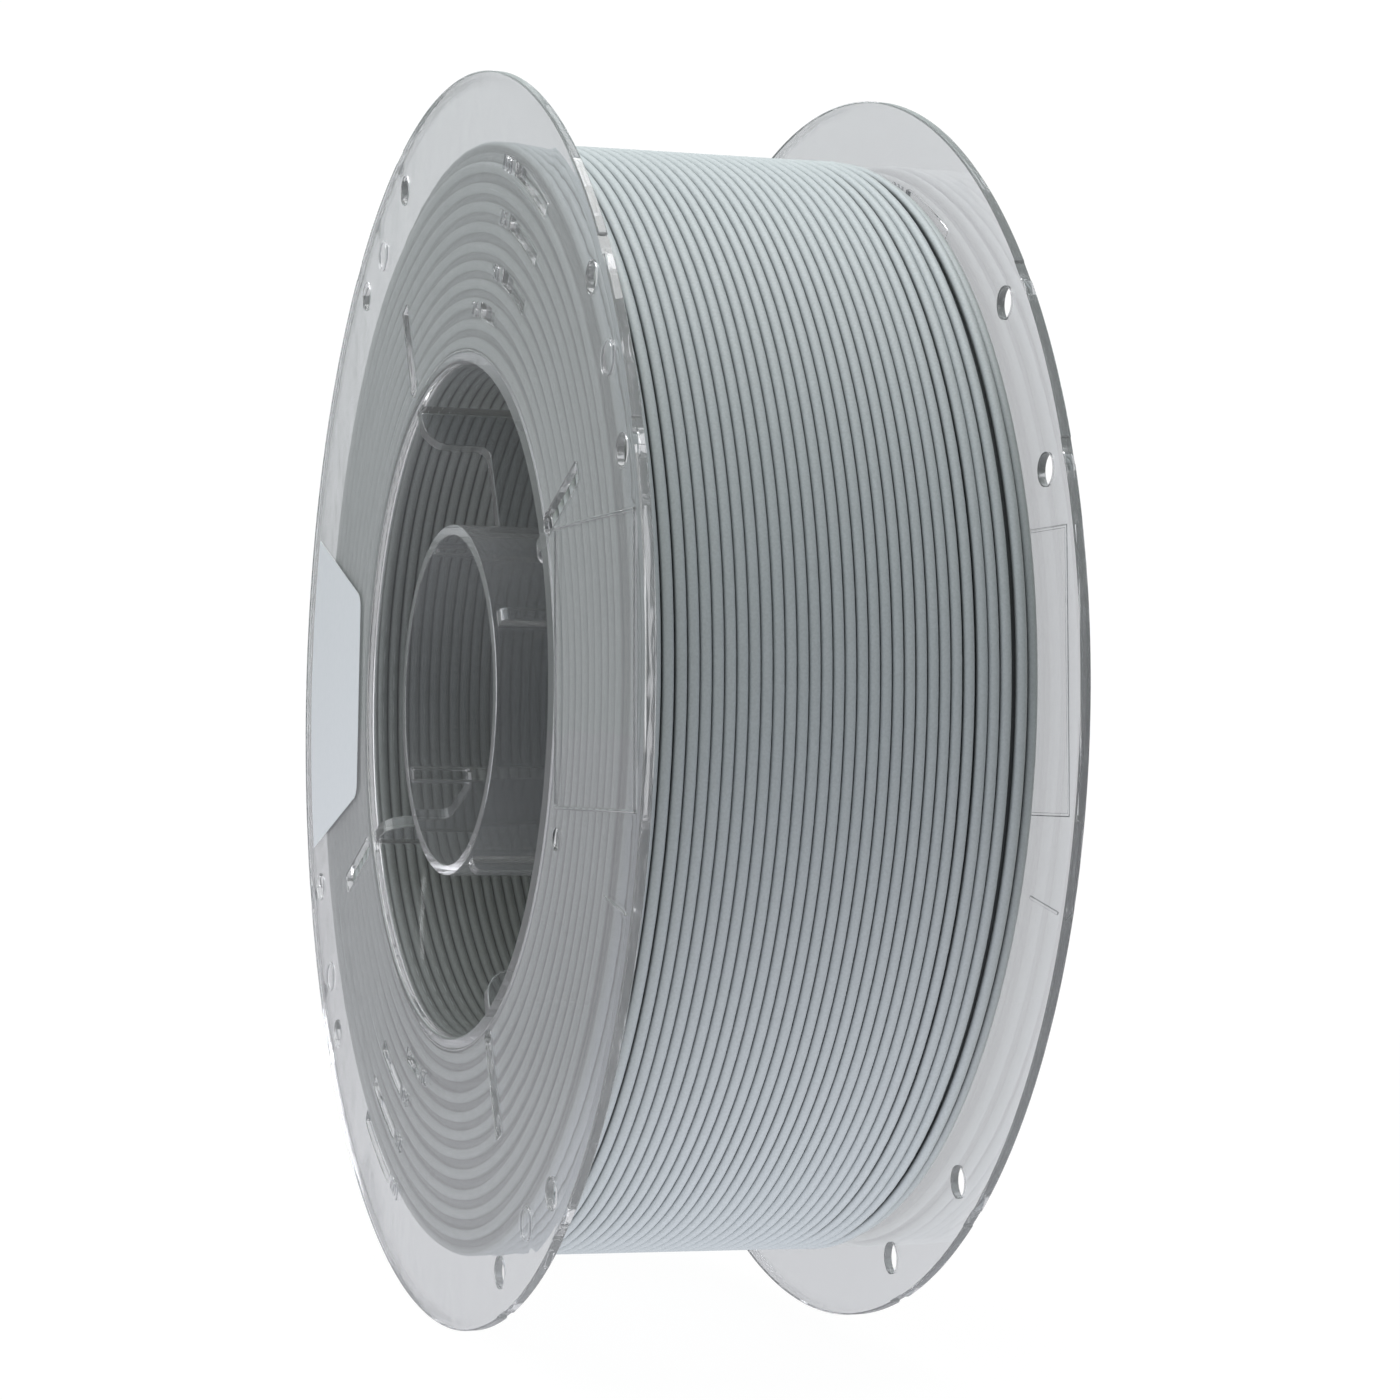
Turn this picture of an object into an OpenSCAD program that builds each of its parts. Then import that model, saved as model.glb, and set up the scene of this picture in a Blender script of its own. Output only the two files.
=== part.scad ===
// Filament spool: two clear moulded halves that join in the middle of the drum, the wound
// filament and a blank data label on the near flange.
// Millimetres. The spool's axis is Y, the near half is at -Y, Z is up, and the origin is the
// centre of the bore. Each part is drawn round a local +Z axis and turned by spool().

/* [Flanges] */
// Outside diameter of both flanges
flange_d = 200; // [192:1:240]
// Overall width over both flanges
spool_w = 66; // [58:1:90]
// Thickness of a flange at its rim
rim_t = 1.6; // [1.3:0.1:2.6]
// Depth of the outer face inside the rim
face_step = 0.3; // [0.2:0.05:0.5]
// Radial width of the raised rim
rim_w = 2.6; // [1.6:0.1:3.6]

/* [Drum and hub] */
// Inside diameter of the drum, which is the opening in each flange
drum_bore_d = 108; // [100:1:110]
// Wall of the drum
drum_wall = 1.8; // [1.2:0.1:2.6]
// Diameter of the bore through the hub sleeve
bore_d = 53; // [30:0.5:60]
// Wall of the hub sleeve
sleeve_wall = 1.7; // [1.2:0.1:2.6]
// Length by which the lip of the near half's drum reaches into the far half's
lip_len = 3; // [2:0.5:6]
// Clearance round that lip
lip_gap = 0.1; // [0.05:0.05:0.2]

/* [Webs] */
// Thickness of each web between hub sleeve and drum
web_t = 2.2; // [1.4:0.1:4]
// Turn of the first web from +X towards +Z
web_turn = 26; // [22:1:34]
// Depth of the cut-out in a web, from the flange face
web_cut_depth = 12; // [6:1:20]
// Height of the fin that the cut-out leaves along the drum
drum_fin_h = 7; // [5:0.5:12]
// Height of the fin that it leaves along the sleeve
sleeve_fin_h = 2; // [1.5:0.5:4]
// Round of the drum fin's end at the flange face
drum_fin_round = 4.5; // [1:0.5:5]
// Round of the sleeve fin's end
sleeve_fin_round = 1.4; // [0.5:0.1:1.5]

/* [Openings in the flanges] */
// Diameter of the holes that hold the filament's end
clip_hole_d = 4.8; // [3:0.1:6]
// Distance from a flange's edge to the middle of these holes
clip_edge = 7; // [5.8:0.1:7.5]
// Turn of the middle of the first pair of holes from +X towards +Z
clip_turn = 31; // [28:1:36]
// Angle between the two holes of a pair
clip_spread = 18.8; // [12:0.2:24]
// Width of the notch in the rim beside each hole
notch_w = 4.3; // [2:0.1:6]
// Depth of that notch
notch_depth = 0.8; // [0.4:0.1:1.2]
// Length of the radial slots at the drum
slot_len = 16; // [8:1:24]
// Width of these slots
slot_w = 3; // [2:0.1:4]
// Distance from the drum's outside to a slot's end
slot_land = 1.7; // [0.4:0.1:4]
// Distance of each gauge window from the outside of the full winding
gauge_drop = [2.2, 10.6, 19.4, 26.2];
// First angle of each gauge window
gauge_from = [58.5, 59, 60.2, 72.6];
// Last angle of each gauge window
gauge_to = [70.6, 70.6, 71, 80];
// Radial width of the gauge windows
gauge_w = 2.4; // [1.2:0.1:3]

/* [Filament] */
// Diameter of the filament
fil_d = 1.75; // [1.5:0.05:1.85]
// Distance from a flange's edge down to the outside of the winding
free_rim = 11.4; // [9:0.2:16]
// Turns drawn in the outer layer
turns = 24; // [10:1:24]
// Space between the end turns and the flanges
turn_end_gap = 0.15; // [0.05:0.05:0.5]
// Clearance between the core and the outer layer
layer_gap = 0.05; // [0.02:0.01:0.2]
// Radius of the bend where the filament's end turns into its clip hole
tail_bend_r = 4.5; // [4:0.5:6]
// Radius of the bend where the outer layer starts from the core
start_bend_r = 2.4; // [2:0.1:3]
// Radial step from one layer to the next, of which every second one ends deeper
layer_step = 1.53; // [1.45:0.01:1.75]
// Depth of the grooves between the rings that the layers form at the flanges
ring_depth = 1.2; // [0.6:0.1:1.5]
// Least flat width left beside the first and the last of these grooves
ring_land = 0.3; // [0.2:0.1:1]

/* [Data label] */
// Distance from the axis to the label's straight inner edge
label_in = 60; // [59:0.5:66]
// Half the length of that edge
label_half = 17.5; // [8:0.5:20]
// Angle by which the label widens towards the rim
label_flare = 19; // [0:1:25]
// Distance from the raised rim to the label's outer edge
label_margin = 1.4; // [0.5:0.1:4]
// Radius of the label's two inner corners
label_corner = 3; // [1:0.5:5]
// Thickness of the label
label_t = 0.12; // [0.08:0.01:0.15]

/* [Hidden] */
$fn = 180;

clear_tint = [0.80, 0.82, 0.82, 0.45];
filament_tint = [0.62, 0.66, 0.66];
label_tint = [0.90, 0.92, 0.94];

quarters = 4;
quarter = 360 / quarters;
cut = 1;                                   // how far a cutter passes the faces that it cuts
flange_r = flange_d / 2;
half_w = spool_w / 2;
face_z = half_w - face_step;
inner_z = half_w - rim_t;
drum_in_r = drum_bore_d / 2;
drum_out_r = drum_in_r + drum_wall;
bore_r = bore_d / 2;
sleeve_r = bore_r + sleeve_wall;
slot_r = drum_out_r + slot_land;
notch_r = flange_r - notch_depth;
clip_hole_r = flange_r - clip_edge;

// The outer layer: a helix of straight steps, so the core lies under the middle of each step
steps = 18;
sides = 5;
core_sides = 22;
step_a = 360 / steps;
fil_r = fil_d / 2;
wound_r = flange_r - free_rim;
layer_r = wound_r - fil_r;
core_r = layer_r * cos(step_a / 2) - fil_r - layer_gap;
facet_swell = 2 / (1 + cos(180 / core_sides)); // puts a round's flat facets half outside it
core_edge = core_r / facet_swell;
helix_z = inner_z - fil_r - turn_end_gap;
tail_hole_a = clip_turn + 2 * quarter + clip_spread / 2;

// Half of the spool: side 1 is the near half and side -1 its mirror image, the far half
module spool(side = 1)
    rotate([90, 0, 0]) mirror([0, 0, side > 0 ? 0 : 1]) children();

module ring(r_out, r_in, z0, z1)
    translate([0, 0, z0]) difference() {
        cylinder(r = r_out, h = z1 - z0);
        translate([0, 0, -cut]) cylinder(r = r_in, h = z1 - z0 + 2 * cut);
    }

// ---------- one half ----------

module clip_cuts()
    for (q = [0 : quarters - 1], s = [-0.5, 0.5])
        rotate([0, 0, clip_turn + q * quarter + s * clip_spread]) {
            translate([clip_hole_r, 0, inner_z - cut])
                cylinder(d = clip_hole_d, h = rim_t + 2 * cut, $fn = 48);
            translate([notch_r, -notch_w / 2, inner_z - cut])
                cube([notch_depth + cut, notch_w, rim_t + 2 * cut]);
        }

module radial_slots()
    for (q = [0 : quarters - 1])
        rotate([0, 0, web_turn + q * quarter]) translate([slot_r, -slot_w / 2, inner_z - cut])
            cube([slot_len, slot_w, rim_t + 2 * cut]);

module arc_window(r, a0, a1)
    translate([0, 0, inner_z - cut]) rotate([0, 0, a0]) rotate_extrude(angle = a1 - a0)
        translate([r - gauge_w / 2, 0]) square([gauge_w, rim_t + 2 * cut]);

module gauge_windows()
    for (half_turn = [0, 180], i = [0 : len(gauge_drop) - 1])
        arc_window(wound_r - gauge_drop[i], gauge_from[i] + half_turn, gauge_to[i] + half_turn);

module flange()
    color(clear_tint) difference() {
        ring(flange_r, drum_in_r, inner_z, half_w);
        ring(flange_r - rim_w, drum_in_r - cut, face_z, half_w + cut);
        clip_cuts();
        radial_slots();
        gauge_windows();
    }

// The near half's drum has a lip, the inner half of its wall, that reaches past the middle
// into a recess of the far half's drum
module drum(side)
    color(clear_tint) {
        lip_r = (drum_in_r + drum_out_r) / 2;
        if (side > 0)
            union() {
                ring(drum_out_r, drum_in_r, 0, inner_z);
                ring(lip_r - lip_gap / 2, drum_in_r, -lip_len, cut);
            }
        else
            difference() {
                ring(drum_out_r, drum_in_r, 0, inner_z);
                ring(lip_r + lip_gap / 2, drum_in_r - cut, -cut, lip_len + lip_gap);
            }
    }

module sleeve()
    color(clear_tint) ring(sleeve_r, bore_r, 0, half_w);

// A web's outline with x along the radius and y along the spool's axis
module web_profile() {
    cut_x0 = sleeve_r + sleeve_fin_h;
    cut_x1 = drum_in_r - drum_fin_h;
    difference() {
        translate([bore_r, 0]) square([drum_out_r - bore_r, face_z]);
        translate([cut_x0, half_w - web_cut_depth]) square([cut_x1 - cut_x0, web_cut_depth]);
        fin_end(cut_x1, drum_fin_round, 1);
        fin_end(cut_x0, sleeve_fin_round, -1);
    }
}

// Rounds the end of a fin whose free edge is at x; the fin lies on the side that way points to
module fin_end(x, r, way)
    difference() {
        translate([way > 0 ? x - cut : x - r, face_z - r]) square([r + cut, r + cut]);
        translate([x + way * r, face_z - r]) circle(r = r, $fn = 48);
    }

module web(q)
    color(clear_tint) intersection() {
        rotate([90, 0, web_turn + q * quarter])
            linear_extrude(web_t, center = true) web_profile();
        ring(drum_in_r, sleeve_r, -cut, half_w + cut);
    }

// ---------- filament ----------

// Radii of the grooves in the core's ends, from the outside in
grooves = [for (k = [3 : 2 : 99])
    let (r = layer_r - k * layer_step)
    if (r + layer_step < core_edge - ring_land && r - layer_step > drum_out_r + ring_land) r];

// One end of the core's outline, from its outer edge in, with a crest between each two grooves
core_end =
    let (last = len(grooves) - 1)
    concat(
        [[core_edge, inner_z], [grooves[0] + layer_step, inner_z]],
        [for (i = [0 : last]) each concat(
            [[grooves[i], inner_z - ring_depth]],
            i < last ? [[grooves[i] - layer_step, inner_z - turn_end_gap]] : [])],
        [[grooves[last] - layer_step, inner_z], [drum_in_r, inner_z]]);
core_outline = concat(
    core_end, [for (i = [len(core_end) - 1 : -1 : 0]) [core_end[i][0], -core_end[i][1]]]);

core_points = [for (i = [0 : core_sides - 1], p = core_outline)
    let (r = p[0] * facet_swell, a = i * 360 / core_sides) [r * cos(a), r * sin(a), p[1]]];
core_faces =
    let (m = len(core_outline))
    [for (i = [0 : core_sides - 1], j = [0 : m - 1])
        let (a = i * m, c = (i + 1) % core_sides * m, k = (j + 1) % m)
        each [[a + j, c + j, a + k], [a + k, c + j, c + k]]];

module filament_core()
    color(filament_tint) difference() {
        polyhedron(points = core_points, faces = core_faces);
        translate([0, 0, -half_w]) cylinder(r = drum_out_r, h = spool_w);
    }

// Centre line of the outer layer. It rises from the core at the near flange, winds to the
// far flange, leaves the layer there and ends in a clip hole. Both ends are at the back.
function polar(r, a, z) = [r * cos(a), r * sin(a), z];
function ease(t) = t * t * (3 - 2 * t);
function angle_of(length, r) = length / r * 180 / PI;

short_steps = 4;                                   // steps by which the last turn falls short
total_steps = turns * steps - short_steps;
tail_run = 45;                                     // angle in which the end leaves the layer
tail_run_steps = 6;
tail_wait = 0.35;                                  // part of that run before it moves sideways
tail_z = -(inner_z - tail_bend_r - fil_d);
tail_bend_a = angle_of(tail_bend_r, clip_hole_r);
start_run = 40;                                    // angle in which the start settles down
start_run_steps = 5;
start_r = core_r + fil_d;
start_bend_a = angle_of(start_bend_r, start_r);
bend_steps = 5;
end_a = tail_hole_a - tail_bend_a - tail_run;
helix_a0 = end_a - total_steps * step_a;
start_a = helix_a0 - start_run - start_bend_a;

start_bend = [for (i = [0 : bend_steps])
    let (a = 90 * i / bend_steps)
    polar(start_r + start_bend_r * sin(a), start_a + start_bend_a * (1 - cos(a)), helix_z)];

start_down = [for (i = [1 : start_run_steps - 1])
    let (t = i / start_run_steps)
    polar(layer_r + (start_r + start_bend_r - layer_r) * (1 - ease(t)),
          helix_a0 - start_run * (1 - t), helix_z)];

helix = [for (i = [0 : total_steps])
    polar(layer_r, helix_a0 + i * step_a, helix_z * (1 - 2 * i / total_steps))];

tail_run_out = [for (i = [1 : tail_run_steps])
    let (t = i / tail_run_steps, side_t = max(0, (t - tail_wait) / (1 - tail_wait)))
    polar(layer_r + (clip_hole_r - layer_r) * ease(t), end_a + tail_run * t,
          -helix_z + (tail_z + helix_z) * ease(side_t))];

tail_bend = [for (i = [1 : bend_steps])
    let (a = 90 * i / bend_steps)
    polar(clip_hole_r, tail_hole_a - tail_bend_a * (1 - sin(a)),
          tail_z - tail_bend_r * (1 - cos(a)))];

layer_path = concat(
    [polar(core_r, start_a, helix_z)], start_bend, start_down, helix,
    tail_run_out, tail_bend, [polar(clip_hole_r, tail_hole_a, -face_z)]);

function unit(v) = v / norm(v);
function tangent(p, i) = unit(p[min(i + 1, len(p) - 1)] - p[max(i - 1, 0)]);

// Direction of a ring's first corner: away from the axis where the path runs round it
function first_corner(t, at) =
    let (c = cross(t, [0, 0, 1])) norm(c) > 0.05 ? unit(c) : unit([at[0], at[1], 0]);

function tube_points(p) = [for (i = [0 : len(p) - 1])
    let (t = tangent(p, i), n = first_corner(t, p[i]), b = cross(t, n))
    for (k = [0 : sides - 1])
        p[i] + fil_r * (cos(k * 360 / sides) * n + sin(k * 360 / sides) * b)];

function tube_faces(n) = concat(
    [for (i = [0 : n - 2], k = [0 : sides - 1])
        let (a = i * sides + k, b = i * sides + (k + 1) % sides)
        each [[a, a + sides, b], [b, a + sides, b + sides]]],
    [for (k = [1 : sides - 2]) [0, k, k + 1]],
    [for (k = [1 : sides - 2]) let (e = (n - 1) * sides) [e, e + k + 1, e + k]]);

// Length along the path to each of its points
function along(p) = [for (i = 0, s = 0; i < len(p);
    s = s + (i + 1 < len(p) ? norm(p[i + 1] - p[i]) : 0), i = i + 1) s];

// Least gap between points of the path that lie more than a quarter turn apart along it
function path_gap(p) =
    let (s = along(p), apart = layer_r * PI / 2)
    min([for (i = [0 : len(p) - 1], j = [i + 1 : 1 : len(p) - 1])
        if (s[j] - s[i] > apart) norm(p[i] - p[j])]) - fil_d;

module filament_outer_layer()
    color(filament_tint) {
        echo(least_gap_mm = path_gap(layer_path));
        polyhedron(points = tube_points(layer_path), faces = tube_faces(len(layer_path)));
    }

// ---------- data label ----------

function arc(c, r, a0, a1, n = 6) =
    [for (i = [0 : n]) let (a = a0 + (a1 - a0) * i / n) c + r * [cos(a), sin(a)]];

module data_label() {
    reach = flange_r - label_in;
    grow = reach * tan(label_flare);
    c = [-label_in - label_corner, label_half - label_corner * tan(45 - label_flare / 2)];
    color(label_tint) translate([0, 0, face_z]) intersection() {
        cylinder(r = flange_r - rim_w - label_margin, h = label_t);
        linear_extrude(label_t) polygon(concat(
            arc([c[0], -c[1]], label_corner, -90 + label_flare, 0),
            arc(c, label_corner, 0, 90 - label_flare),
            [[-flange_r, label_half + grow], [-flange_r, -label_half - grow]]));
    }
}

spool() flange();  // near_flange
spool() drum(1);  // near_drum
spool() sleeve();  // near_sleeve
spool() web(0);  // near_web_1
spool() web(1);  // near_web_2
spool() web(2);  // near_web_3
spool() web(3);  // near_web_4
spool(-1) flange();  // far_flange
spool(-1) drum(-1);  // far_drum
spool(-1) sleeve();  // far_sleeve
spool(-1) web(0);  // far_web_1
spool(-1) web(1);  // far_web_2
spool(-1) web(2);  // far_web_3
spool(-1) web(3);  // far_web_4
spool() filament_core();
spool() filament_outer_layer();
spool() data_label();
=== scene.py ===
import random
from math import asin, atan2, cos, degrees, hypot, pi, radians, sin, tan, tau

import bmesh
import bpy
from mathutils import Matrix, Vector


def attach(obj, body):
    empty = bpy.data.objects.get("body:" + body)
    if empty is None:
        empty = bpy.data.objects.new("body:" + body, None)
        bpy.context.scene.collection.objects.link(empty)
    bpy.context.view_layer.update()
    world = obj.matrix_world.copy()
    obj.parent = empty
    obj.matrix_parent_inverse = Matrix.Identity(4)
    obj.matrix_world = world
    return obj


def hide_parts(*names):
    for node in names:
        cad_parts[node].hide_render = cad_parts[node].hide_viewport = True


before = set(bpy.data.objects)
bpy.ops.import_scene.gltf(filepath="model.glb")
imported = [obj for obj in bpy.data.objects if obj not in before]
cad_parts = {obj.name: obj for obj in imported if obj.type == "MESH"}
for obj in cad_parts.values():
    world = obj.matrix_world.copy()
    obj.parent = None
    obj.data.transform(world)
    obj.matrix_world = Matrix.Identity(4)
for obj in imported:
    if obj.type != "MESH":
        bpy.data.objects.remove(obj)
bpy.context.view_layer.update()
scene = bpy.context.scene
mm = 0.001


def linear(hexColour):
    # sRGB hex to the linear colour that the shaders work in
    parts = [int(hexColour[i:i + 2], 16) / 255 for i in (1, 3, 5)]
    return tuple(c / 12.92 if c <= 0.04045 else ((c + 0.055) / 1.055) ** 2.4 for c in parts) + (1.0,)


def addNode(tree, kind, inputs=None, **settings):
    # inputs are values or the sockets that feed them, by name or number
    node = tree.nodes.new(kind)
    for name, value in settings.items():
        setattr(node, name, value)
    for key, value in (inputs or {}).items():
        if isinstance(value, bpy.types.NodeSocket):
            tree.links.new(value, node.inputs[key])
        else:
            node.inputs[key].default_value = value
    return node


def newMaterial(name):
    material = bpy.data.materials.new(name)
    material.use_nodes = True
    material.node_tree.nodes.clear()
    return material, material.node_tree


def at(radius, angle, depth, side=1):
    # a point of one half, angle from +X to +Z, side 1 for the near half and -1 for the far
    return Vector((radius * cos(radians(angle)), -side * depth, radius * sin(radians(angle)))) * mm


def polar(x, z, angle):
    # the radius and angle of a point given along and across the radius at an angle
    return hypot(x, z), angle + 180 / pi * asin(z / hypot(x, z))


def arcPoints(cx, cy, r, start, end, count=7):
    return [(cx + r * cos(radians(start + (end - start) * i / count)),
             cy + r * sin(radians(start + (end - start) * i / count))) for i in range(count + 1)]


def circleAt(radius, angle, r, count):
    # a circle on the flange's face, as (radius, angle) points
    return [polar(radius + r * cos(tau * i / count), r * sin(tau * i / count), angle) for i in range(count)]


def placed(name, data):
    obj = bpy.data.objects.new(name, data)
    scene.collection.objects.link(obj)
    return obj


def newObject(name, vertices, faces):
    mesh = bpy.data.meshes.new(name)
    mesh.from_pydata([tuple(v) for v in vertices], [], faces)
    return placed(name, mesh)


def closeUp(obj):
    # merges doubles and turns the faces outwards
    bm = bmesh.new()
    bm.from_mesh(obj.data)
    bmesh.ops.remove_doubles(bm, verts=bm.verts, dist=1e-7)
    bmesh.ops.recalc_face_normals(bm, faces=bm.faces)
    bm.to_mesh(obj.data)
    bm.free()
    return obj


def quadsBetween(a, b, count):
    # the faces between two loops of points, which start at a and b
    return [(a + j, a + (j + 1) % count, b + (j + 1) % count, b + j) for j in range(count)]


def ringed(name, loops):
    # a closed solid through loops of equal counts, the last of which meets the first
    count, faces = len(loops[0]), []
    for k in range(len(loops)):
        faces += quadsBetween(k * count, (k + 1) % len(loops) * count, count)
    return closeUp(newObject(name, [p for loop in loops for p in loop], faces))


def lofted(name, loops):
    # a closed solid through loops of equal counts, with a flat cap at each end
    count = len(loops[0])
    faces = [tuple(range(count)), tuple(range((len(loops) - 1) * count, len(loops) * count))]
    for k in range(len(loops) - 1):
        faces += quadsBetween(k * count, (k + 1) * count, count)
    return closeUp(newObject(name, [p for loop in loops for p in loop], faces))


def turned(name, profile, side, segments):
    # revolves a closed outline of (radius, depth) points
    return ringed(name, [[at(r, 360 * i / segments, h, side) for r, h in profile] for i in range(segments)])


def joined(name, parts):
    bm = bmesh.new()
    for part in parts:
        bm.from_mesh(part.data)
        bpy.data.objects.remove(part)
    mesh = bpy.data.meshes.new(name)
    bm.to_mesh(mesh)
    bm.free()
    return placed(name, mesh)


def finalMesh(obj, name):
    # the evaluated object as a plain mesh object, with the old one removed
    bpy.context.view_layer.update()
    mesh = bpy.data.meshes.new_from_object(obj.evaluated_get(bpy.context.evaluated_depsgraph_get()))
    mesh.name = name
    bpy.data.objects.remove(obj)
    return placed(name, mesh)


def combined(name, base, steps):
    for operation, other in steps:
        modifier = base.modifiers.new(operation, "BOOLEAN")
        modifier.operation, modifier.object, modifier.solver = operation, other, "EXACT"
    result = finalMesh(base, name)
    for _, other in steps:
        bpy.data.objects.remove(other)
    return result


def shadeByAngle(obj, angle):
    # smooth below the angle, with the large faces keeping their own flat normals
    name = obj.name
    obj.data.shade_smooth()
    obj.data.set_sharp_from_angle(angle=radians(angle))
    modifier = obj.modifiers.new("flatFaces", "WEIGHTED_NORMAL")
    modifier.keep_sharp, modifier.weight = True, 100
    return finalMesh(obj, name)


def openEdges(obj):
    # how many edges don't lie between exactly two faces
    bm = bmesh.new()
    bm.from_mesh(obj.data)
    found = sum(len(e.link_faces) != 2 for e in bm.edges)
    bm.free()
    return found


# The moulded halves. Depth runs from the middle of the spool outwards along its axis. jointGap is how far
# each half stays off the middle, and rimSlope is where the face starts and ends its rise to the rim.
spool = {
    "flangeRadius": 100.0, "halfWidth": 33.0, "faceDepth": 32.7, "innerDepth": 31.4,
    "drumIn": 54.0, "drumOut": 55.8, "boreRadius": 26.5, "sleeveOut": 28.2,
    "lipLength": 3.0, "lipGap": 0.1, "jointGap": 0.05, "rimSlope": (97.0, 99.2),
    "edgeBreak": 0.22, "drumRound": 0.5, "drumFillet": 0.8, "segments": 288, "sleeveSegments": 144,
}


def flangeProfile(side):
    # flange and drum in one outline; the near half's drum has the lip, the far half's the recess
    s, e = spool, spool["edgeBreak"]
    lip = (s["drumIn"] + s["drumOut"]) / 2 - side * s["lipGap"] / 2
    end = -s["lipLength"] if side > 0 else s["lipLength"] + s["lipGap"]
    joint = [(s["drumOut"], s["jointGap"]), (lip, s["jointGap"]), (lip, end), (s["drumIn"], end)]
    low, high = s["rimSlope"]
    r, fillet = s["drumRound"], s["drumFillet"]
    rim = [(low, s["faceDepth"]), (high, s["halfWidth"]), (s["flangeRadius"] - e, s["halfWidth"]),
           (s["flangeRadius"], s["halfWidth"] - e), (s["flangeRadius"], s["innerDepth"] + e),
           (s["flangeRadius"] - e, s["innerDepth"])]
    return (joint + arcPoints(s["drumIn"] + r, s["faceDepth"] - r, r, 180, 90, 6) + rim
            + arcPoints(s["drumOut"] + fillet, s["innerDepth"] - fillet, fillet, 90, 180, 4))


def sleeve(side):
    # the tube round the bore
    s, e = spool, spool["edgeBreak"] / 2
    profile = [(s["boreRadius"], s["jointGap"]), (s["sleeveOut"], s["jointGap"]),
               (s["sleeveOut"], s["halfWidth"] - e), (s["sleeveOut"] - e, s["halfWidth"]),
               (s["boreRadius"] + e, s["halfWidth"]), (s["boreRadius"], s["halfWidth"] - e)]
    return turned("sleeve", profile, side, s["sleeveSegments"])


# The four webs between sleeve and drum. foot is the round where a web meets a wall, and insideWall is how
# far short of each wall's other side a web ends.
webs = {
    "turn": 27.0, "thickness": 2.2, "cutDepth": 12.0, "drumFin": 7.0, "sleeveFin": 2.0,
    "cutRound": 2.0, "drumFinRound": 4.5, "sleeveFinRound": 1.4, "topBelowFace": 0.5,
    "insideWall": 0.9, "edgeBreak": 0.12, "foot": 0.6, "footBuried": 0.6,
}


def webOutline():
    # x along the radius and y along the axis, with the cut-out that leaves a fin on each tube
    s, w = spool, webs
    start, end = s["boreRadius"] + w["insideWall"], s["drumOut"] - w["insideWall"]
    x0, x1 = s["sleeveOut"] + w["sleeveFin"], s["drumIn"] - w["drumFin"]
    top, low, r = s["faceDepth"] - w["topBelowFace"], s["halfWidth"] - w["cutDepth"], w["cutRound"]
    a, b = w["drumFinRound"], w["sleeveFinRound"]
    return ([(start, s["jointGap"]), (end, s["jointGap"]), (end, top)]
            + arcPoints(x1 + a, top - a, a, 90, 180) + arcPoints(x1 - r, low + r, r, 0, -90)
            + arcPoints(x0 + r, low + r, r, -90, -180) + arcPoints(x0 - b, top - b, b, 0, 90)
            + [(start, top)])


def web(quarter, side):
    angle, half = webs["turn"] + 90 * quarter, webs["thickness"] / 2
    across = Vector((-sin(radians(angle)), 0, cos(radians(angle)))) * mm
    outline = [at(r, angle, h, side) for r, h in webOutline()]
    obj = lofted("web", [[p + across * t for p in outline] for t in (-half, half)])
    bm = bmesh.new()
    bm.from_mesh(obj.data)
    caps = sorted(bm.faces, key=lambda f: -len(f.verts))[:2]
    rims = [e for f in caps for e in f.edges]
    bmesh.ops.bevel(bm, geom=rims, offset=webs["edgeBreak"] * mm, segments=1, affect="EDGES")
    bm.to_mesh(obj.data)
    bm.free()
    return obj


def webFeet(side):
    # Both sides of each web, at the sleeve and at the drum. The feet keep a few hundredths off the faces
    # round them, because the Boolean that joins them needs faces that don't coincide.
    s, w, f, bury = spool, webs, webs["foot"], webs["footBuried"]
    half, top = w["thickness"] / 2, s["faceDepth"] - w["topBelowFace"] - 0.05
    x0, x1 = s["sleeveOut"] - 0.05, s["drumIn"] - 0.03
    atSleeve = ([(x0 - bury, half - bury), (x0 - bury, half + f)]
                + arcPoints(x0 + f, half + f, f, 180, 270, 5) + [(x0 + f + 0.02, half - bury)])
    atDrum = ([(x1 + bury, half - bury), (x1 + bury, half + f)]
              + arcPoints(x1 - f, half + f, f, 0, -90, 5) + [(x1 - f - 0.02, half - bury)])
    parts = []
    for quarter in range(4):
        for way in (1, -1):
            for corner in (atSleeve, atDrum):
                outline = [polar(x, way * (z - 0.01), w["turn"] + 90 * quarter) for x, z in corner]
                loops = [[at(r, a, h, side) for r, a in outline] for h in (s["jointGap"] + 0.02, top)]
                parts.append(lofted("foot", loops))
    return joined("feet", parts)


# What is cut from a half: clip holes and rim notches, radial slots, arc windows and shallow round pits.
# The pits are (radius, angle, own radius), gaugeFloor is the thickness left under an arc window, and beyond
# is how far a cutter reaches past a face.
openings = {
    "clipRadius": 93.3, "clipDiameter": 4.8, "clipTurn": 31.5, "clipSpread": 18.4,
    "notchWidth": 4.3, "notchDepth": 0.4, "notchFrom": 31.3,
    "slotStart": 57.4, "slotLength": 16.6, "slotWidth": 3.2, "slotRound": 0.35,
    "gaugeRadius": (87.3, 79.0, 70.3, 63.0), "gaugeFrom": (56.6, 56.9, 57.8, 69.9),
    "gaugeTo": (68.7, 68.5, 68.6, 77.4), "gaugeWidth": 2.4, "gaugeRound": 0.3, "gaugeFloor": 0.35,
    "pits": ((58.6, 27.0, 1.8), (58.6, 117.0, 1.8), (58.6, 207.0, 1.8), (58.6, 297.0, 1.8),
             (62.5, -18.2, 1.7)),
    "pitDepth": 0.65, "pitEdge": 0.12, "edgeBreak": 0.15, "beyond": 1.0,
}


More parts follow.
